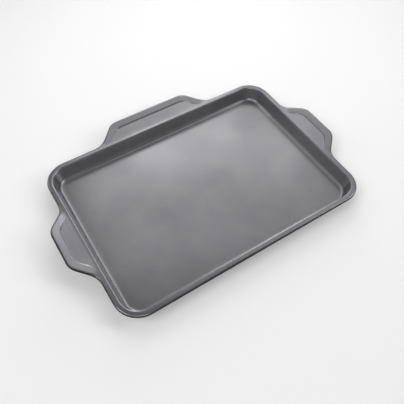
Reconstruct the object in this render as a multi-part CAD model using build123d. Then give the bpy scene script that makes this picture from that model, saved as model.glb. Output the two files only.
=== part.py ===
# Jelly roll pan: one pressed and coated steel sheet with three handles, and the wire inside its rolled edge.
# Millimetres and degrees, +Z up. X runs along the pan, and the long side without a handle faces -Y.
# The origin is the centre of the floor's underside, where the pan stands.
from build123d import *
from dataclasses import dataclass
from math import cos, degrees, radians, sin, tan
import os

# The pan: its opening is measured between the wall lines, at the level of the flange
opening_length = 381.0
opening_width = 265.0
inside_depth = 21.5
opening_corner_radius = 28.0
wall_draft = 16.5
floor_radius = 5.0
lip_radius = 2.5
sheet_thickness = 0.8

# The rolled edge and the wire that it is rolled round
rim_width = 8.4             # from the wall line to the outside of the rolled edge
wire_diameter = 3.2
wire_clearance = 0.1        # all round the wire, inside the roll
curl_turn = 300.0           # how far the sheet turns round the wire
roll_flats = 10             # flat strips that stand for the roll's round outside
bore_flats = 6              # and for its hidden inside
wire_flats = 8              # and for the wire, so that all three stay light round the corners

# The handles: a width is measured at the outer edge, where its line would meet those of the flanks,
# and a reach along the slope, from the outside of the rim to the outside of the handle
side_handle_width = 65.4
side_handle_reach = 28.2
side_blend_radius = 27.0    # where a flank runs out into the rim
side_panel_border = 11.5    # from the handle's outside to its sunk panel
back_handle_width = 132.0
back_handle_reach = 30.6
back_blend_radius = 36.0
back_panel_border = 11.7
handle_corner_radius = 22.0
flank_angle = 45.0
handle_rise = 12.5

# The sunk panel in each handle: level with the handle near the rim, and deepest at its outer end
panel_start = 2.5           # along the slope, from the bend at the rim
panel_depth = 1.9
panel_corner_radius = 17.0
panel_side_angle = 45.0

# Worked out from the sizes above
curl_bore_radius = wire_diameter / 2 + wire_clearance
curl_radius = curl_bore_radius + sheet_thickness
flange_top = sheet_thickness + inside_depth
wire_level = flange_top - curl_radius
wire_reach = rim_width - curl_radius
wall_spread = sheet_thickness / cos(radians(wall_draft))


@dataclass
class Handle:
    """One handle: which way it points, how far off its wall line is, and its own sizes."""

    direction: float
    wall_distance: float
    width: float
    reach: float
    blend_radius: float
    panel_border: float


side_sizes = (side_handle_width, side_handle_reach, side_blend_radius, side_panel_border)
back_sizes = (back_handle_width, back_handle_reach, back_blend_radius, back_panel_border)
right_handle = Handle(0, opening_length / 2, *side_sizes)
back_handle = Handle(90, opening_width / 2, *back_sizes)
left_handle = Handle(180, opening_length / 2, *side_sizes)
handles = [right_handle, back_handle, left_handle]


# The pan

def drafted_block(length, width, corner_radius, depth, edge_radius):
    """A block that narrows downwards from the level of the flange, with its lower edge rounded."""
    outline = RectangleRounded(length, width, corner_radius)
    block = extrude(Plane.XY.offset(flange_top) * outline, amount=-depth, taper=wall_draft)
    return fillet(block.faces().sort_by(Axis.Z)[0].edges(), edge_radius)


def mouth_edges(body, place):
    """The edges where the wall meets the flange: place -1 is its top and -2 its underside."""
    flange_face = body.faces().filter_by(Axis.Z).sort_by(Axis.Z)[place]
    return flange_face.inner_wires()[0].edges()


def pan_body():
    """Floor, drafted walls and flat flange, all of one thickness, with a rounded lip between them."""
    inside = drafted_block(
        opening_length, opening_width, opening_corner_radius, inside_depth, floor_radius
    )
    outside = drafted_block(
        opening_length + 2 * wall_spread,
        opening_width + 2 * wall_spread,
        opening_corner_radius + wall_spread,
        flange_top,
        floor_radius + sheet_thickness,
    )
    flange_outline = RectangleRounded(
        opening_length + 2 * wire_reach,
        opening_width + 2 * wire_reach,
        opening_corner_radius + wire_reach,
    )
    flange = extrude(Plane.XY.offset(flange_top) * flange_outline, amount=-sheet_thickness)
    body = outside + flange - inside
    body = fillet(mouth_edges(body, -1), lip_radius)
    return fillet(mouth_edges(body, -2), lip_radius - sheet_thickness)


# The line that the wire follows round rim and handles, always with the pan on its left

def sloping_plane(handle, slope):
    """A plane through the wire on a handle's side: X leads outward and uphill, Y along the rim."""
    outward = Vector(1, 0, 0).rotate(Axis.Z, handle.direction)
    middle = outward * (handle.wall_distance + wire_reach) + Vector(0, 0, wire_level)
    uphill = outward * cos(radians(slope)) + Vector(0, 0, sin(radians(slope)))
    normal = outward * -sin(radians(slope)) + Vector(0, 0, cos(radians(slope)))
    return Plane(origin=middle, x_dir=uphill, z_dir=normal)


def corner_shift(inset):
    """How far a corner between outer edge and flank moves along the rim when both are moved in."""
    return inset * (1 - sin(radians(flank_angle))) / cos(radians(flank_angle))


def flank_run(distance):
    """How much wider a handle is on each side, that far in from its edge."""
    return distance * tan(radians(flank_angle))


def handle_line(handle):
    """The wire's runs round a handle, in the handle's plane, which start and end along the rim."""
    half_edge = handle.width / 2 - corner_shift(curl_radius)
    half_base = half_edge + flank_run(handle.reach)
    blend = handle.blend_radius + curl_radius
    corner = handle_corner_radius - curl_radius
    half_lead = half_base + blend
    points = [(0, -half_lead), (0, -half_base), (handle.reach, -half_edge)]
    points += [(x, -y) for x, y in reversed(points)]
    runs = FilletPolyline(*points, radius=[blend, corner, corner, blend]).edges()
    return runs[1:-1]


def half_opening(handle):
    """Half of the stretch of rim that a handle takes up, out to where its blends start."""
    return (handle_line(handle)[-1] @ 1).Y


def rim_lines():
    """The wire's runs on the rim between the handles: two back corners and the whole front."""
    side = opening_length / 2 + wire_reach
    back = opening_width / 2 + wire_reach
    radius = opening_corner_radius + wire_reach
    side_start = half_opening(right_handle)
    back_start = half_opening(back_handle)
    right = FilletPolyline((side, side_start), (side, back), (back_start, back), radius=radius)
    left = FilletPolyline((-back_start, back), (-side, back), (-side, side_start), radius=radius)
    front = FilletPolyline(
        (-side, -side_start), (-side, -back), (side, -back), (side, -side_start), radius=radius
    )
    return right.edges() + left.edges() + front.edges()


def carry(section, run, up):
    """Carry a section, drawn with X outward and Y up, along one straight or round run of a line."""
    heading = run % 0
    outward = heading.cross(up)
    face = Plane(origin=run @ 0, x_dir=outward, z_dir=-heading) * section
    if run.geom_type == GeomType.LINE:
        return extrude(face, amount=run.length, dir=heading)
    turns_inward = (run.arc_center - run @ 0).dot(outward) < 0
    axis = Axis(run.arc_center, up if turns_inward else -up)
    return revolve(face, axis=axis, revolution_arc=degrees(run.length / run.radius))


def carry_all(section):
    """Carry a section along the whole closed line: the level rim and the three sloping handles."""
    level = Plane.XY.offset(wire_level)
    pieces = [carry(section, level * run, level.z_dir) for run in rim_lines()]
    for handle in handles:
        plane = sloping_plane(handle, handle_rise)
        pieces += [carry(section, plane * run, plane.z_dir) for run in handle_line(handle)]
    return pieces


# The rolled edge, the handles and their panels

def roll_side(radius, flats):
    """One side of the roll, cut across: flats whose middles lie on a circle, from its top outward."""
    flat_turn = curl_turn / flats
    corner_radius = radius / cos(radians(flat_turn / 2))
    first_corner = Vector(0, corner_radius).rotate(Axis.Z, -flat_turn / 2)
    corners = [first_corner.rotate(Axis.Z, -i * flat_turn) for i in range(flats)]
    root = Vector(0, radius)
    return [root, *corners, root.rotate(Axis.Z, -curl_turn)]


def roll_section():
    """The rolled edge, cut across: from the top of the wire outward, down, in and nearly round again."""
    outer = roll_side(curl_radius, roll_flats)
    inner = roll_side(curl_bore_radius, bore_flats)
    return Polygon(*outer, *reversed(inner), align=None)


def wire_section():
    """The wire, cut across, with its corners on its round outline."""
    return RegularPolygon(wire_diameter / 2, wire_flats)


def panel_outline(handle, growth):
    """A handle's panel in the handle's plane, larger on every side by the growth."""
    inset = handle.panel_border - growth
    edge = handle.reach + curl_radius - inset
    half_edge = handle.width / 2 - corner_shift(inset)
    base = panel_start - 2 * panel_depth
    half_base = half_edge + flank_run(edge - base)
    corners = [(base, -half_base), (edge, -half_edge), (edge, half_edge), (base, half_base)]
    sides = FilletPolyline(*corners, radius=panel_corner_radius + growth)
    return make_face(sides.edges() + [Line(corners[-1], corners[0])])


def panel_block(handle, drop, growth):
    """The room over a panel's floor, with sloping sides, for a face that lies below the handle's top."""
    outline = Plane.XY.offset(curl_radius - drop) * panel_outline(handle, growth)
    block = extrude(outline, amount=-2 * panel_depth, taper=panel_side_angle)
    run = handle.reach + curl_radius - handle.panel_border - panel_start
    along_floor = Vector(run, 0, -panel_depth)
    floor_normal = Vector(panel_depth, 0, run)
    start = Vector(panel_start, 0, curl_radius) - floor_normal.normalized() * drop
    floor = Plane(origin=start, x_dir=along_floor, z_dir=floor_normal)
    return split(block, bisect_by=floor, keep=Keep.TOP)


def handle_sheet(handle):
    """The sheet of one handle in its own plane, out to the wire's line, with its panel pressed down."""
    line = handle_line(handle)
    start = line[0] @ 0
    end = line[-1] @ 1
    lap = Vector(-rim_width, 0)
    inner_side = Polyline(end, end + lap, start + lap, start)
    outline = Plane.XY.offset(curl_radius) * make_face(line + inner_side.edges())
    plate = extrude(outline, amount=-sheet_thickness)
    growth = sheet_thickness * tan(radians(panel_side_angle / 2))
    underside = panel_block(handle, sheet_thickness, growth)
    hollow = panel_block(handle, 0, 0)
    return plate + underside - hollow


def pan_sheet():
    """The whole pressed sheet: the pan, its handles bent up from the flange, and the rolled edge."""
    sheet = pan_body()
    added = carry_all(roll_section())
    for handle in handles:
        bend = sloping_plane(handle, handle_rise / 2)
        room_sizes = (curl_radius, 2 * half_opening(handle), 4 * curl_radius)
        sheet -= bend * Box(*room_sizes, align=(Align.MIN, Align.CENTER, Align.CENTER))
        sloping = sloping_plane(handle, handle_rise) * handle_sheet(handle)
        cut = Plane(origin=bend.origin, x_dir=bend.y_dir, z_dir=bend.x_dir)
        added.append(split(sloping, bisect_by=cut, keep=Keep.TOP))
    return sheet.fuse(*added)


def rim_wire():
    """The closed steel wire, which lies in the rolled edge all the way round."""
    first, *others = carry_all(wire_section())
    return first.fuse(*others)


os.makedirs("parts", exist_ok=True)
export_step(pan_sheet(), "parts/pan_sheet.step")
export_step(rim_wire(), "parts/rim_wire.step")
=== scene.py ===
# %% [markdown]
# # A jelly roll pan
# The real pan is one sheet of steel, about a millimetre thick, pressed into a shallow tray with three
# handles and coated dark grey. Its edge is rolled round a steel wire, which keeps the rim stiff and safe to
# touch. So there are two pieces to make: the sheet and the wire. This lesson builds both as meshes from a
# few sizes, then gives them their finishes, and at the end sets up the light and the camera.

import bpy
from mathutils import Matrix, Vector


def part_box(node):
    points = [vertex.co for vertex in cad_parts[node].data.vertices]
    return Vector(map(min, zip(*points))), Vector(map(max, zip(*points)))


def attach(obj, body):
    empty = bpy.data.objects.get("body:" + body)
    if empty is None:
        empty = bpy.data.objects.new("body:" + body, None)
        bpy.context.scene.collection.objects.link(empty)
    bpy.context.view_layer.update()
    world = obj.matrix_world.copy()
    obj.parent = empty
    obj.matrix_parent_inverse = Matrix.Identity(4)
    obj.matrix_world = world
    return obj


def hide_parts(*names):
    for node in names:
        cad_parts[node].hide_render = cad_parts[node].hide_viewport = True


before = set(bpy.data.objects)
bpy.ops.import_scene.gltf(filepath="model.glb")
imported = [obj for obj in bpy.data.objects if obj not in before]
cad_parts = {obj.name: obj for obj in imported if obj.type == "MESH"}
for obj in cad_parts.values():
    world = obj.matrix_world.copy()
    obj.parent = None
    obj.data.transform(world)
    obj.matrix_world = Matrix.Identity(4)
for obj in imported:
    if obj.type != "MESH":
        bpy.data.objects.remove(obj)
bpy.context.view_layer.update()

# %% Tools and unit
from math import cos, pi, radians, sin, tan

import bpy
import numpy as np
from mathutils import Matrix, Vector

MM = 0.001
print("working in metres; one MM is", MM)

# %% [markdown]
# ## The sizes
# A press tool is drawn from few numbers: the opening, the depth, the draft of the walls and the radii. They
# are the same as in the solid model. The opening is measured between the wall lines, where the slope of the
# walls would meet the level of the flange. The width is read from the solid's own box, so that the two stay
# together.

# %% Sizes of the tray and its rim
opening_length = 381 * MM
rim_width = 8.4 * MM  # from the wall line to the outside of the rolled edge
opening_width = -2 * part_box("pan_sheet")[0].y - 2 * rim_width
inside_depth = 21.5 * MM
opening_corner_radius = 28 * MM
wall_draft = radians(16.5)
floor_radius = 5 * MM
lip_radius = 2.5 * MM
sheet_thickness = 0.8 * MM
wire_radius = 1.6 * MM
wire_clearance = 0.1 * MM

roll_radius = wire_radius + wire_clearance + sheet_thickness
flange_top = sheet_thickness + inside_depth
wire_level = flange_top - roll_radius
wire_reach = rim_width - roll_radius  # from the wall line to the wire's own line
print("opening", round(opening_length / MM, 1), "x", round(opening_width / MM, 1), "mm")

# %% [markdown]
# ## The handles
# Seen from above, each handle is a wide tab: its outer edge runs along the rim, and its two flanks leave
# the rim at 45 degrees. Large arcs blend the flanks into the rim and smaller ones round the outer corners.
# A handle could be modelled apart and joined on, but the real one is the same sheet as the rim. So the
# rim's own line is bent outward instead, and everything that follows that line gets the handles for free.

# %% Sizes of the handles
flank_angle = radians(45)
handle_corner_radius = 22 * MM
rise_angle = radians(12.5)  # of the whole handle, measured from the wire's line in the rim


class Handle:
    """One handle's own sizes. A width is that of its outer edge, a reach runs along the slope."""

    def __init__(self, width, reach, blend_radius, panel_border):
        self.width = width * MM
        self.reach = reach * MM
        self.blend_radius = blend_radius * MM
        self.panel_border = panel_border * MM
        self.plan_reach = self.reach * cos(rise_angle)
        self.height = self.reach * sin(rise_angle)


side_handle = Handle(width=65.4, reach=28.2, blend_radius=27.0, panel_border=11.5)
back_handle = Handle(width=132.0, reach=30.6, blend_radius=36.0, panel_border=11.7)
print("handles rise by", round(side_handle.height / MM, 2), "and", round(back_handle.height / MM, 2), "mm")

# %% [markdown]
# ### The line of the wire round a handle
# The line is a function: for each place along the side it says how far the wire lies out from the rim. The
# flanks lean, so the function has one value everywhere, and arcs of circles join its straight stretches.

# %% Outline of a handle as a function
def corner_shift(inset):
    """How far a corner between outer edge and flank moves along the rim when both are moved in."""
    return inset * (1 - sin(flank_angle)) / cos(flank_angle)


def outline_marks(handle):
    """Half widths where the outline changes: rim, end of blend, start and end of the corner's arc."""
    half_turn = tan(flank_angle / 2)
    blend = handle.blend_radius + roll_radius
    corner = handle_corner_radius - roll_radius
    half_edge = handle.width / 2 - corner_shift(roll_radius)
    half_base = half_edge + handle.reach * tan(flank_angle)
    rim_mark = half_base + blend * half_turn
    edge_mark = half_edge - corner * half_turn
    return rim_mark, rim_mark - blend * sin(flank_angle), edge_mark + corner * sin(flank_angle), edge_mark


def wire_outline(handle, along):
    """How far out along the slope the wire's line lies, at each distance along the side."""
    rim_mark, blend_mark, corner_mark, edge_mark = outline_marks(handle)
    blend = handle.blend_radius + roll_radius
    corner = handle_corner_radius - roll_radius
    v = np.abs(along)
    on_blend = blend - np.sqrt(np.clip(blend**2 - (rim_mark - v) ** 2, 0, None))
    on_corner = handle.reach - corner + np.sqrt(np.clip(corner**2 - (v - edge_mark) ** 2, 0, None))
    on_flank = handle.reach + handle.width / 2 - corner_shift(roll_radius) - v
    places = [v >= rim_mark, v >= blend_mark, v >= corner_mark, v >= edge_mark]
    return np.select(places, [0 * v, on_blend, on_flank, on_corner], handle.reach)


for name, handle in (("side", side_handle), ("back", back_handle)):
    print(name, "handle takes up", round(2 * outline_marks(handle)[0] / MM, 1), "mm of its side")

# %% [markdown]
# ### How high the sheet lies
# The flange is level up to the bend. There the sheet curves up over a few millimetres, and beyond it the
# handle is straight again. A parabola joins two straight slopes without a kink, and its slope is a simple
# ramp, so the direction of the surface is known everywhere too. Across a handle the bend begins just past
# the lip. Towards the handle's ends it moves out and over the rim's own edge, so that the plain rim stays
# level.

# %% Height and slope of the sheet beyond the rim
bend_start = -2.5 * MM  # plan distance from the wire's line in the rim
bend_start_at_ends = 2.5 * MM
bend_length = 7 * MM
bend_shift = 9 * MM  # how far out a flank has come where the bend has reached its place


def smooth_step(share):
    """An S from 0 to 1 for shares from 0 to 1."""
    share = np.clip(share, 0, 1)
    return share**2 * (3 - 2 * share)


def rise(handle, out, along):
    """Height and slope at a plan distance out from the wire's line in the rim."""
    if handle is None:
        return 0 * out, 0 * out
    settled = smooth_step(wire_outline(handle, along) / bend_shift)
    start = bend_start_at_ends + (bend_start - bend_start_at_ends) * settled
    full_slope = handle.height / (handle.plan_reach - start - bend_length / 2)
    along_bend = np.clip((out - start) / bend_length, 0, 1)
    slope = full_slope * along_bend
    height = slope * along_bend * bend_length / 2
    height += full_slope * np.clip(out - start - bend_length, 0, None)
    return height, slope


edge_heights, _ = rise(side_handle, np.array([side_handle.plan_reach]), 0.0)
print("outer edge of a side handle rises", round(float(edge_heights[0]) / MM, 2), "mm")

# %% [markdown]
# ### The sunk panel
# Each handle has a panel pressed into it for grip. It is level with the handle near the rim and deepest at
# its outer end, so only its outer edge and the far parts of its flanks show a step. The press can't make a
# sharp step in sheet steel, so the step is a smooth S. How deep a point lies depends on its distance from
# the panel's outline, which is the usual way to describe such a form: a signed distance.

# %% Depth of the sunk panel
panel_start = 2.5 * MM
panel_depth = 1.9 * MM
panel_corner_radius = 17 * MM
step_width = 1.9 * MM
step_overlap = 0.4 * MM  # how far the S begins outside the outline


def panel_marks(handle):
    """Where the panel's outer edge lies along the slope, and half of that edge's length."""
    edge = handle.reach + roll_radius - handle.panel_border
    half_edge = handle.width / 2 - corner_shift(handle.panel_border)
    return edge, half_edge


def panel_edge(handle, along):
    """How far out along the slope the panel's outline is crossed, at each distance along the side."""
    edge, half_edge = panel_marks(handle)
    v = np.abs(along)
    centre = half_edge - panel_corner_radius * tan(flank_angle / 2)
    on_arc = edge - panel_corner_radius
    on_arc = on_arc + np.sqrt(np.clip(panel_corner_radius**2 - (v - centre) ** 2, 0, None))
    arc_end = centre + panel_corner_radius * sin(flank_angle)
    return np.select([v >= arc_end, v >= centre], [edge + half_edge - v, on_arc], edge)


def inside_panel(handle, out, along):
    """Distance of a point inside the panel's outline; it is negative outside."""
    edge, half_edge = panel_marks(handle)
    v = np.abs(along)
    from_edge = edge - out
    from_flank = (half_edge + edge - v - out) * cos(flank_angle)
    across = out - (edge - panel_corner_radius)
    beside = v - (half_edge - panel_corner_radius * tan(flank_angle / 2))
    in_corner = (across > 0) & (beside > 0) & (beside < across)
    from_corner = panel_corner_radius - np.hypot(across, beside)
    return np.where(in_corner, from_corner, np.minimum(from_edge, from_flank))


def sunk(handle, out, along):
    """How far the sheet lies below the handle's plane."""
    if handle is None:
        return 0 * out
    edge = panel_marks(handle)[0]
    depth = panel_depth * np.clip((out - panel_start) / (edge - panel_start), 0, 1)
    return depth * smooth_step((inside_panel(handle, out, along) + step_overlap) / step_width)


near_edge = np.array([panel_marks(back_handle)[0] - 2 * step_width])
deepest = sunk(back_handle, near_edge, 0 * near_edge)[0]
print("panel of the back handle is", round(float(deepest) / MM, 2), "mm deep")

# %% [markdown]
# ## Stations round the pan
# The whole sheet is one grid. Its columns stand at stations round the opening, and its rows run from the
# middle of the floor out to the end of the roll. A station knows its point on the wall line, which way is
# out, and which handle it is on. Stations are dense where the outline curves and sparse on the straights.

# %% Stations along one side and round one corner
straight_step = 16 * MM
handle_edge_step = straight_step / 3
blend_stations = 12
flank_stations = 8
corner_stations = 16
pan_corner_stations = 18


def spread(start, end, steps):
    """Evenly spaced places from start, without the end."""
    return list(np.linspace(start, end, steps, endpoint=False))


def half_side(handle, half_run):
    """Distances along one half of a side, from its end to its middle."""
    if handle is None:
        return spread(half_run, 0, round(half_run / straight_step))
    rim_mark, blend_mark, corner_mark, _ = outline_marks(handle)
    panel_mark = panel_marks(handle)[1] - panel_corner_radius * tan(flank_angle / 2)
    places = spread(half_run, rim_mark, round((half_run - rim_mark) / straight_step) + 1)
    places += spread(rim_mark, blend_mark, blend_stations)
    places += spread(blend_mark, corner_mark, flank_stations)
    places += spread(corner_mark, panel_mark, corner_stations)
    return places + spread(panel_mark, 0, round(panel_mark / handle_edge_step))


def side_stations(direction, handle, wall_distance, half_run):
    """Stations of one straight side, in the order of travel with the pan on the left."""
    half = half_side(handle, half_run)
    along = [-v for v in half] + [0] + half[::-1]
    out = np.array([cos(direction), sin(direction)])
    run = np.array([-sin(direction), cos(direction)])
    return [(wall_distance * out + v * run, out, handle, v) for v in along]


def corner_stations_of(direction, wall_distance, half_run):
    """Stations of the rounded corner that follows a side, without the two that the sides have."""
    out = np.array([cos(direction), sin(direction)])
    run = np.array([-sin(direction), cos(direction)])
    centre = (wall_distance - opening_corner_radius) * out + half_run * run
    turns = np.linspace(0, pi / 2, pan_corner_stations + 1)[1:-1]
    ways = [np.array([cos(direction + t), sin(direction + t)]) for t in turns]
    return [(centre + opening_corner_radius * way, way, None, 0.0) for way in ways]


half_length = opening_length / 2
half_width = opening_width / 2
sides = [
    (0, side_handle, half_length, half_width - opening_corner_radius),
    (pi / 2, back_handle, half_width, half_length - opening_corner_radius),
    (pi, side_handle, half_length, half_width - opening_corner_radius),
    (-pi / 2, None, half_width, half_length - opening_corner_radius),
]
stations = []
for direction, handle, wall_distance, half_run in sides:
    stations += side_stations(direction, handle, wall_distance, half_run)
    stations += corner_stations_of(direction, wall_distance, half_run)
print(len(stations), "stations round the pan")

# %% [markdown]
# ## Rows from the floor to the flange
# In cross-section the tray is: flat floor, a radius, a drafted wall, a smaller radius, flat flange. Each
# radius starts and ends where it touches its two straight neighbours, at the radius times the tangent of
# half the turn. Only the top skin is drawn here. A modifier gives it its thickness later.

# %% Cross-section of floor, wall and lip
wall_turn = pi / 2 - wall_draft
arc_steps = 9
floor_inset = inside_depth * tan(wall_draft)


def arc_rows(centre_out, centre_height, radius, start, end):
    """Rows on an arc of the cross-section, with angles from straight up, positive outward."""
    angles = np.linspace(start, end, arc_steps + 1)
    return [(centre_out + radius * sin(a), centre_height + radius * cos(a)) for a in angles]


floor_tangent = floor_radius * tan(wall_turn / 2)
lip_tangent = lip_radius * tan(wall_turn / 2)
floor_arc = arc_rows(
    -floor_inset - floor_tangent, sheet_thickness + floor_radius, floor_radius, pi, pi - wall_turn
)
lip_arc = arc_rows(lip_tangent, flange_top - lip_radius, lip_radius, -wall_turn, 0)
wall_middle = tuple((a + b) / 2 for a, b in zip(floor_arc[-1], lip_arc[0]))
wall_rows = floor_arc + [wall_middle] + lip_arc
print("wall is", round((lip_arc[0][1] - floor_arc[-1][1]) / MM, 1), "mm high between its two radii")

# %% Points of the tray at every station
wall_points = np.array([p for p, _, _, _ in stations])
outward = np.array([way for _, way, _, _ in stations])


def ring(out, height):
    """One row: the wall line moved outward and set at a height."""
    return np.column_stack([wall_points + outward * out, np.full(len(stations), height)])


tray_rows = [ring(out, height) for out, height in wall_rows]
print(len(tray_rows), "rows from the floor's radius to the flange")

# %% [markdown]
# ## The floor
# A pressed floor is never quite flat: it crowns a little, and the light slides over it instead of stopping
# dead. The rows of the floor shrink towards the middle, first as true offsets of the wall and then as
# smaller copies, because offsets would cross once the corners have no radius left.

# %% Rows of the floor
floor_crown = 0.25 * MM
last_offset = -24 * MM
offset_rows = 3
shrinking_rows = 14
smallest_copy = 0.06
crown_power = 1.5  # how quickly the crown fades towards the walls


def crowned(points):
    """Floor points at their height: flat at the wall's radius and highest in the middle."""
    edge_x = half_length - floor_inset - floor_tangent
    edge_y = half_width - floor_inset - floor_tangent
    fall_x = np.clip(1 - (points[:, 0] / edge_x) ** 2, 0, 1)
    fall_y = np.clip(1 - (points[:, 1] / edge_y) ** 2, 0, 1)
    height = sheet_thickness + floor_crown * (fall_x * fall_y) ** crown_power
    return np.column_stack([points, height])


first_offset = wall_rows[0][0]
floor_offsets = np.linspace(last_offset, first_offset, offset_rows, endpoint=False)
last_ring = wall_points + outward * last_offset
shares = np.linspace(smallest_copy, 1, shrinking_rows, endpoint=False)
floor_rows = [crowned(last_ring * share) for share in shares]
floor_rows += [crowned(wall_points + outward * out) for out in floor_offsets]
print(len(floor_rows), "rows on the floor")

# %% [markdown]
# ## Flange and handles
# From the lip the sheet runs out to the top of the wire. On the plain rim that is a few millimetres, on a
# handle over thirty. All stations get the same number of rows, and some of them gather where the panel's
# step is crossed, so that a small S has enough points and the flat parts don't carry too many.

# %% Rows between the lip and the wire
rows_before_step = 14
rows_over_step = 12
rows_after_step = 5
step_reach_in = 3.2 * MM
step_reach_out = 1.4 * MM
least_share = 0.3  # of a row's width, where the step's rows lie on a station that has no step
most_share = 0.25


def row_places(handle, along):
    """Plan distances from the wall line of one station's rows, from the lip to the wire's line."""
    wire_out = wire_reach
    crossing = 0.0
    if handle is not None:
        wire_out += float(wire_outline(handle, along)) * cos(rise_angle)
        crossing = wire_reach + float(panel_edge(handle, along)) * cos(rise_angle)
    width = wire_out - lip_tangent
    crossing = max(crossing, lip_tangent + least_share * width)
    inner = crossing - min(step_reach_in, most_share * width)
    outer = crossing + min(step_reach_out, most_share * width)
    return np.array(
        spread(lip_tangent, inner, rows_before_step)
        + spread(inner, outer, rows_over_step)
        + list(np.linspace(outer, wire_out, rows_after_step))
    )[1:]


def flange_points(station):
    """Points of one station from the lip to the top of the wire, and the wire's centre and up there."""
    wall_point, way, handle, along = station
    out = row_places(handle, along)
    beyond = out - wire_reach
    height, slope = rise(handle, beyond, along)
    steepness = np.sqrt(1 + slope**2)
    up = np.column_stack([-slope[:, None] * way, np.ones(len(out))]) / steepness[:, None]
    centre = np.column_stack([wall_point + out[:, None] * way, wire_level + height])
    below = sunk(handle, beyond / cos(rise_angle), along)
    return centre + up * (roll_radius - below)[:, None], centre[-1], up[-1]


columns = [flange_points(station) for station in stations]
flange_rows = [np.array([points[row] for points, _, _ in columns]) for row in range(len(columns[0][0]))]
wire_line = np.array([centre for _, centre, _ in columns])
wire_up = np.array([up for _, _, up in columns])
print(len(flange_rows), "rows on flange and handles; the wire's line rises to",
      round(wire_line[:, 2].max() / MM, 2), "mm")

# %% [markdown]
# ## The rolled edge
# The sheet's edge is rolled down and round the wire. At each station the roll is an arc in the plane square
# to the wire's line. That plane comes from two directions: along the line, and up from the sheet. Their
# cross product points outward. The same three directions place the wire itself.

# %% Rows of the roll
roll_turn = radians(300)
roll_steps = 20


def unit(vectors):
    """The same directions with length one."""
    return vectors / np.linalg.norm(vectors, axis=1)[:, None]


gaps = np.linalg.norm(np.roll(wire_line, -1, axis=0) - wire_line, axis=1)[:, None]
ahead = (np.roll(wire_line, -1, axis=0) - wire_line) / gaps
behind = np.roll(ahead, 1, axis=0)
gaps_behind = np.roll(gaps, 1, axis=0)
travel = unit(ahead * gaps_behind + behind * gaps)
roll_out = unit(np.cross(travel, wire_up))
roll_up = np.cross(roll_out, travel)


def ring_round_wire(radius, turn):
    """Points at one angle round the wire's line, from its top outward."""
    return wire_line + radius * (cos(turn) * roll_up + sin(turn) * roll_out)


turns = np.linspace(0, roll_turn, roll_steps + 1)[1:]
roll_rows = [ring_round_wire(roll_radius, turn) for turn in turns]
print(len(roll_rows), "rows on the roll, whose edge ends", round(roll_turn * 180 / pi), "degrees round")

# %% [markdown]
# ## The sheet as a mesh
# All rows together are a grid that closes on itself, so its faces are quads between neighbours, plus one
# small face in the middle of the floor. Solidify turns the skin into a sheet of even thickness, away from
# the side that shows, and its edge becomes the cut edge of the steel inside the roll.

# %% Build the skin and give it thickness
def grid_faces(row_count, column_count, closed_rows=False):
    """Quads of a grid whose columns close on themselves, and its rows too if asked."""
    rows = range(row_count if closed_rows else row_count - 1)
    faces = []
    for row in rows:
        here = row * column_count
        there = (row + 1) % row_count * column_count
        for column in range(column_count):
            after = (column + 1) % column_count
            faces.append((here + column, there + column, there + after, here + after))
    return faces


def add_mesh(name, points, faces):
    """A new smooth mesh object, linked to the scene."""
    mesh = bpy.data.meshes.new(name)
    mesh.from_pydata(points.tolist(), [], faces)
    mesh.validate()
    mesh.shade_smooth()
    piece = bpy.data.objects.new(name, mesh)
    bpy.context.scene.collection.objects.link(piece)
    return piece


def apply_modifiers(piece):
    """Turn the piece's modifiers into mesh."""
    graph = bpy.context.evaluated_depsgraph_get()
    finished = bpy.data.meshes.new_from_object(piece.evaluated_get(graph))
    piece.modifiers.clear()
    piece.data = finished


sheet_rows = floor_rows + tray_rows + flange_rows + roll_rows
sheet_points = np.concatenate(sheet_rows)
column_count = len(stations)
middle_face = tuple(range(column_count))
sheet_faces = [middle_face] + grid_faces(len(sheet_rows), column_count)
sheet = add_mesh("coated_sheet", sheet_points, sheet_faces)
way_up = "up" if sheet.data.polygons[0].normal.z > 0 else "down"
print("skin:", len(sheet_points), "points; floor faces", way_up)

# %% [markdown]
# ### Thickness and two places for a finish
# The top is coated in one finish, and the outside and underside in another. So the skin gets two places for
# a material, and the change lies a little way round the roll. The side that solidify adds gets the second
# one. The change is put early on the roll partly as painted shade: the dark near face of the roll stands in
# for the shade under the rim.

# %% Thickness of the steel
coated_roll_steps = 2  # steps of the roll that still have the finish of the top
sharp_angle = radians(40)
solidify = sheet.modifiers.new("thickness", "SOLIDIFY")
solidify.thickness = sheet_thickness
solidify.offset = -1
solidify.use_even_offset = True
solidify.use_quality_normals = True
sheet.data.materials.append(None)
sheet.data.materials.append(None)
first_outside = len(sheet_faces) - column_count * (roll_steps - coated_roll_steps)
for face in sheet.data.polygons[first_outside:]:
    face.material_index = 1
solidify.material_offset = 1
solidify.material_offset_rim = 1
apply_modifiers(sheet)
sheet.data.set_sharp_from_angle(angle=sharp_angle)
lowest = min(point.co.z for point in sheet.data.vertices)
print("sheet:", len(sheet.data.vertices), "points, lowest", round(lowest / MM, 3), "mm")

# %% [markdown]
# ## The wire
# The wire is a tube round the same line. It only shows from underneath, in the slit of the roll, but it is
# a real piece, so it is a closed round bar all the way.

# %% Build the wire
wire_sides = 16
wire_turns = np.linspace(0, 2 * pi, wire_sides, endpoint=False)
wire_points = np.concatenate([ring_round_wire(wire_radius, turn) for turn in wire_turns])
wire = add_mesh("edge_wire", wire_points, grid_faces(wire_sides, column_count, closed_rows=True))
wire_length = float(gaps.sum())
print("wire is", round(wire_length, 3), "m long")

# %% [markdown]
# ## Finishes
# The coat is a dark nonstick enamel with a satin face. It is sprayed, so close up it has a fine orange
# peel, from an arm's length its gloss is a little uneven, and from further away its grey is cloudy. A
# single colour would look like plastic. The scales of unevenness are noise in the object's own coordinates,
# so they stay on the pan from any side.

# %% Helpers for node materials
noise_low = 0.3  # a noise texture rarely leaves this range
noise_high = 0.7


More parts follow.
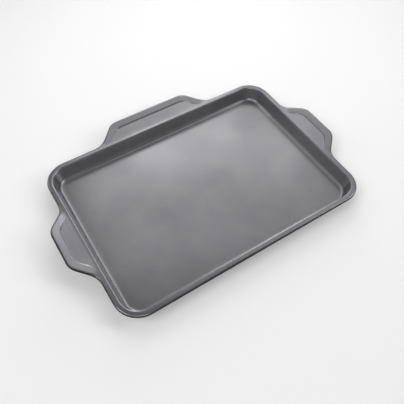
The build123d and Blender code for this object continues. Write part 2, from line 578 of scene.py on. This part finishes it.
def new_material(name):
    """A new material with its node tree and its Principled shader."""
    material = bpy.data.materials.new(name)
    material.use_nodes = True
    tree = material.node_tree
    shader = tree.nodes["Principled BSDF"]
    return material, tree, shader


def noise(tree, scale, detail=3.0, roughness=0.5):
    """A noise texture in object coordinates, so many bumps to a metre."""
    place = tree.nodes.new("ShaderNodeTexCoord")
    texture = tree.nodes.new("ShaderNodeTexNoise")
    texture.inputs["Scale"].default_value = scale
    texture.inputs["Detail"].default_value = detail
    texture.inputs["Roughness"].default_value = roughness
    tree.links.new(place.outputs["Object"], texture.inputs["Vector"])
    return texture.outputs["Fac"]


def blend_range(tree, factor, low, high):
    """Map the usual values of a noise onto a range of values."""
    mapped = tree.nodes.new("ShaderNodeMapRange")
    mapped.inputs["From Min"].default_value = noise_low
    mapped.inputs["From Max"].default_value = noise_high
    mapped.inputs["To Min"].default_value = low
    mapped.inputs["To Max"].default_value = high
    tree.links.new(factor, mapped.inputs["Value"])
    return mapped.outputs["Result"]


def two_tones(tree, factor, dark, light, start=0.0, end=1.0):
    """A colour that runs from dark to light while a factor runs from start to end."""
    ramp = tree.nodes.new("ShaderNodeValToRGB")
    for tone, position, colour in zip(ramp.color_ramp.elements, (start, end), (dark, light)):
        tone.position = position
        tone.color = (*colour, 1)
    tree.links.new(factor, ramp.inputs["Fac"])
    return ramp.outputs["Color"]


print("a noise is taken to run from", noise_low, "to", noise_high)

# %% [markdown]
# ### The coat inside and on top
# One ramp gives the fine speckle of the spray. A second one, on much wider noise, darkens it in clouds that
# are a little bluer than the rest. Both are multiplied. The coat is set between an enamel and a metal, and
# nearer to the metal, as if flakes in it mirrored the light in its own grey.

# %% The nonstick coat
orange_peel_depth = 0.03 * MM
coat, tree, shader = new_material("nonstick_coat")
speckle = two_tones(
    tree, noise(tree, 2200, 2), (0.190, 0.190, 0.199), (0.250, 0.250, 0.262), noise_low, noise_high
)
clouds = two_tones(
    tree, noise(tree, 22, 5, 0.6), (0.885, 0.885, 0.915), (1.0, 1.0, 0.985), start=0.36, end=0.64
)
cloudy = tree.nodes.new("ShaderNodeMix")
cloudy.data_type = "RGBA"
cloudy.blend_type = "MULTIPLY"
cloudy.inputs["Factor"].default_value = 1.0
tree.links.new(speckle, cloudy.inputs["A"])
tree.links.new(clouds, cloudy.inputs["B"])
tree.links.new(cloudy.outputs["Result"], shader.inputs["Base Color"])
tree.links.new(blend_range(tree, noise(tree, 14), 0.225, 0.265), shader.inputs["Roughness"])
shader.inputs["Metallic"].default_value = 0.7
bump = tree.nodes.new("ShaderNodeBump")
bump.inputs["Strength"].default_value = 0.25
bump.inputs["Distance"].default_value = orange_peel_depth
tree.links.new(noise(tree, 900), bump.inputs["Height"])
tree.links.new(bump.outputs["Normal"], shader.inputs["Normal"])
sheet.data.materials[0] = coat
print("coat:", len(tree.nodes), "nodes")

# %% [markdown]
# ### The coat outside and underneath
# The outside gets another coat, nearly black and less glossy. It begins a little way round the rolled edge,
# so a dark line shows along the near side of the pan. That line is partly the coat's own dark colour and
# partly painted shade: it stands in for the shade under the rolled edge.

# %% The dark outside, partly painted shade
outside_coat_and_painted_shade, tree, shader = new_material("outside_coat_and_painted_shade")
# Painted shade in part: this near black on the roll's near face stands in for the shade under the rim.
black = two_tones(tree, noise(tree, 900, 2), (0.014, 0.014, 0.015), (0.026, 0.026, 0.028))
tree.links.new(black, shader.inputs["Base Color"])
tree.links.new(blend_range(tree, noise(tree, 14), 0.42, 0.50), shader.inputs["Roughness"])
shader.inputs["Specular IOR Level"].default_value = 0.15
sheet.data.materials[1] = outside_coat_and_painted_shade
print("outside coat:", len(tree.nodes), "nodes")

# %% [markdown]
# ### The wire
# The wire is drawn steel: pulled through a die, so it is bright, with small changes of gloss and faint
# stains.

# %% The drawn wire
steel, tree, shader = new_material("drawn_steel")
stained = two_tones(tree, noise(tree, 120, 4), (0.36, 0.35, 0.34), (0.58, 0.57, 0.55))
tree.links.new(stained, shader.inputs["Base Color"])
tree.links.new(blend_range(tree, noise(tree, 700), 0.28, 0.42), shader.inputs["Roughness"])
shader.inputs["Metallic"].default_value = 1.0
wire.data.materials.append(steel)
print("steel:", len(tree.nodes), "nodes")

# %% [markdown]
# ## Join the pieces to the model
# Each piece rides on its body, and the node of the imported model that it stands for is hidden.

# %% Ride on the body and hide the model's parts
for piece, node, slot in ((sheet, "pan_sheet", "nonstick_coating"), (wire, "rim_wire", "wire_steel")):
    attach(piece, "root")
    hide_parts(node)
    print(piece.name, "stands for", node)

# %% [markdown]
# ## The table it stands on
# A plain pale disc, much larger than the pan, so that its edge stays far behind from any side.

# %% The table
table_radius = 1.25
table_turns = np.linspace(0, 2 * pi, 128, endpoint=False)
table_points = np.column_stack([np.cos(table_turns), np.sin(table_turns), 0 * table_turns]) * table_radius
table = add_mesh("pale_table", table_points, [tuple(range(len(table_turns)))])
paper, tree, shader = new_material("pale_paper")
shader.inputs["Base Color"].default_value = (0.86, 0.86, 0.86, 1)
shader.inputs["Roughness"].default_value = 0.9
table.data.materials.append(paper)
print("table is", 2 * table_radius, "m wide")

# %% [markdown]
# ## Camera
# The camera looks down from the front left. Its place was found by fitting the rim, the lip and the
# handles' outlines to the photograph. It rolls by a degree or two, as a camera held over a table does.

# %% The camera
view_azimuth = radians(-33.85)
view_elevation = radians(55.17)
view_roll = radians(1.65)
view_distance = 677.7 * MM
focal_share = 471.0 / 404.0  # focal length as a share of the picture's width
aim = Vector((-21.33 * MM, -32.27 * MM, flange_top))

back = Vector((
    sin(view_azimuth) * cos(view_elevation),
    -cos(view_azimuth) * cos(view_elevation),
    sin(view_elevation),
))
right = (-back).cross(Vector((0, 0, 1))).normalized()
up = right.cross(-back)
rolled_right = cos(view_roll) * right + sin(view_roll) * up
rolled_up = -sin(view_roll) * right + cos(view_roll) * up
camera_data = bpy.data.cameras.new("camera")
camera_data.sensor_width = 0.036 / MM
camera_data.lens = focal_share * camera_data.sensor_width
camera = bpy.data.objects.new("camera", camera_data)
camera.matrix_world = Matrix.Translation(aim + back * view_distance) @ Matrix(
    (rolled_right, rolled_up, back)
).transposed().to_4x4()
bpy.context.scene.collection.objects.link(camera)
bpy.context.scene.camera = camera
print("camera at", [round(v, 3) for v in camera.location], "lens", round(camera_data.lens, 2))

# %% [markdown]
# ## Light
# The shadows are soft and lie all round the pan, deeper on the left and in front. So wide boxes stand on
# both sides, and three low ones stand behind the pan: the rounded lip and the steps in the handles mirror
# these as thin bright lines. The bright cloud on the pan's floor is something else: the floor mirrors a run
# of soft panels that hang over the table behind the pan.
#
# The numbers in the two tables below weren't chosen by eye. The light of every lamp on a coarse grid of
# places was rendered apart from the others, and another program fitted them all to the photograph's
# brightness by least squares. The fit dropped the lamps that mattered least and gave the others their
# powers. The panels' powers are its results, rounded. The boxes' powers began as its results too, and most
# of them were then changed.

# %% A soft box
def soft_box(name, place, width, depth, power):
    """A rectangular area light at a place, turned towards the middle of the pan."""
    light = bpy.data.lights.new(name, "AREA")
    light.shape = "RECTANGLE"
    light.size = width
    light.size_y = depth
    light.energy = power
    lamp = bpy.data.objects.new(name, light)
    lamp.location = place
    lamp.rotation_euler = lamp.location.to_track_quat("Z", "Y").to_euler()
    bpy.context.scene.collection.objects.link(lamp)
    return lamp


def on_compass(azimuth, elevation, distance=1.8):
    """A place seen from the pan: azimuth from +X towards +Y, both angles in degrees."""
    level = distance * cos(radians(elevation))
    height = distance * sin(radians(elevation))
    return level * cos(radians(azimuth)), level * sin(radians(azimuth)), height


print("a light on the right would stand at", [round(v, 2) for v in on_compass(0, 45)])

# %% Boxes round the table
boxes = [  # azimuth, elevation, size and power
    (330, 32, 0.7, 10.0),
    (0, 50, 0.9, 2.5),
    (240, 50, 0.9, 11.5),
    (180, 50, 0.9, 9.5),
    (60, 15, 0.6, 6.5),
    (30, 15, 0.6, 2.3),
    (150, 15, 0.6, 0.9),
]
for number, (azimuth, elevation, size, power) in enumerate(boxes):
    soft_box(f"box_{number}", on_compass(azimuth, elevation), size, size, power)
print(len(boxes), "boxes, together", round(sum(box[-1] for box in boxes), 1), "W")

# %% Panels over the table
panel_height = 0.62
panel_width = 0.36
panel_length = 0.28
panels = [  # place and power
    (-0.60, 0.90, 1.20),
    (0.10, 0.15, 0.15),
    (0.35, 0.15, 0.12),
    (-0.15, 0.35, 0.17),
    (0.10, 0.35, 0.20),
    (0.35, 0.35, 0.15),
    (0.60, 0.35, 0.30),
    (0.60, 0.50, 0.30),
    (0.10, 0.65, 0.50),
    (0.35, 0.65, 0.70),
]
for number, (x, y, power) in enumerate(panels):
    soft_box(f"panel_{number}", (x, y, panel_height), panel_width, panel_length, power)
print(len(panels), "panels, together", round(sum(panel[-1] for panel in panels), 2), "W")

# %% [markdown]
# ### The surround
# A studio has a pale wall round the table. Here it is the sky: pale up to some way over the horizon, and
# dark above, where only the lamps should show in the coat.

# %% The surround and the colours
wall_brightness = 0.85
fade_start = 0.05  # how far up a direction points: its height for a length of one
fade_end = 0.35
world = bpy.data.worlds.new("surround")
world.use_nodes = True
surround = world.node_tree.nodes["Background"]
surround.inputs["Color"].default_value = (1, 1, 1, 1)
sky_nodes, sky_links = world.node_tree.nodes, world.node_tree.links
direction = sky_nodes.new("ShaderNodeTexCoord")
upward = sky_nodes.new("ShaderNodeSeparateXYZ")
fade = sky_nodes.new("ShaderNodeMapRange")
fade.interpolation_type = "SMOOTHSTEP"
fade.inputs["From Min"].default_value = fade_start
fade.inputs["From Max"].default_value = fade_end
fade.inputs["To Min"].default_value = wall_brightness
fade.inputs["To Max"].default_value = 0.0
sky_links.new(direction.outputs["Generated"], upward.inputs["Vector"])
sky_links.new(upward.outputs["Z"], fade.inputs["Value"])
sky_links.new(fade.outputs["Result"], surround.inputs["Strength"])
bpy.context.scene.world = world
bpy.context.scene.view_settings.view_transform = "Standard"
